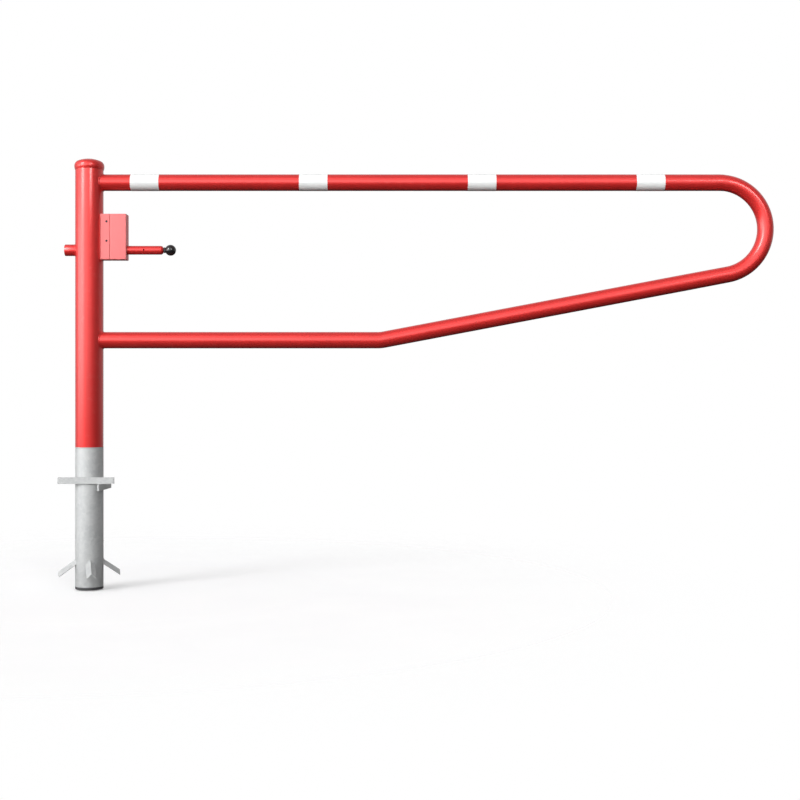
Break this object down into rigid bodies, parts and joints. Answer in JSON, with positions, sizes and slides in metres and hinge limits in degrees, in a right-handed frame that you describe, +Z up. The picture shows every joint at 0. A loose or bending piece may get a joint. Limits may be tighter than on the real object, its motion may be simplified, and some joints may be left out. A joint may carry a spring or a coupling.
{
  "type": "swinging parking barrier gate",
  "caption": "Hand-operated swinging barrier: a looped tube gate on a post turns about a buried ground sleeve and is held by a sliding bolt under a small lock.",
  "frame": {"origin": "on the pivot axis at ground level, the underside of the post", "axes": "+Z up along the pivot axis; +X along the closed gate, from the post to its looped end; the lock's key side faces +Y"},
  "size_m": [2.6215, 0.2208, 1.577],
  "materials": {
    "red_coat": "glossy red powder coat with a faint orange peel",
    "box_coat": "paler red satin powder coat",
    "red_plastic": "glossy moulded red",
    "galvanised": "hot-dip galvanised, matte with a faint spangle",
    "dark_plastic": "matte dark grey",
    "bare_steel": "zinc plated",
    "bronze": "turned bronze",
    "nylon": "matte grey nylon",
    "reflective_film": "white reflective film",
    "black_steel": "blackened steel",
    "plated_metal": "nickel plated",
    "black_phenolic": "polished black phenolic",
    "insert_brass": "turned brass"
  },
  "bodies": {
    "anchor": {"ground_sleeve": "galvanised", "anchor_crossbars": "galvanised", "anchor_lugs": "galvanised", "bottom_plug": "dark_plastic", "spindle_rings": "galvanised", "pivot_spindle": "galvanised", "spindle_plug": "bare_steel", "pivot_bush": "bronze", "retaining_washer": "bare_steel", "retaining_bolt": "bare_steel", "stop_pin": "bare_steel"},
    "gate": {"post_tube": "red_coat", "post_cap": "red_plastic", "bearing_plate": "red_coat", "upper_bush": "nylon", "lower_bush": "nylon", "gate_rail": "red_coat", "reflective_band_1": "reflective_film", "reflective_band_2": "reflective_film", "reflective_band_3": "reflective_film", "reflective_band_4": "reflective_film", "bolt_end_sleeve": "red_coat", "stub_end_plate": "red_coat", "bolt_guide": "red_coat", "lock_bracket": "box_coat", "lock_housing": "box_coat", "housing_screws": "black_steel", "bolt_bush": "nylon", "bolt_stop_screw": "black_steel", "lock_barrel": "plated_metal", "lock_nut": "plated_metal"},
    "bolt": {"locking_bolt": "red_coat", "knob_nut": "black_steel", "ball_knob": "black_phenolic", "knob_insert": "insert_brass"},
    "lock": {"lock_core": "plated_metal", "lock_cam": "bare_steel", "cam_screw": "bare_steel"}
  },
  "joints": [
    {"name": "gate_swing", "type": "hinge", "parent": "anchor", "child": "gate", "pos_m": [0, 0, 0], "axis": [0, 0, 1], "range_deg": [-90, 90]},
    {"name": "bolt_slide", "type": "slide", "parent": "gate", "child": "bolt", "axis": [-1, 0, 0], "range_m": [0, 0.128]},
    {"name": "lock_turn", "type": "hinge", "parent": "gate", "child": "lock", "pos_m": [0.092, 0.018, 0.768], "axis": [0, 1, 0], "range_deg": [0, 90]}
  ]
}
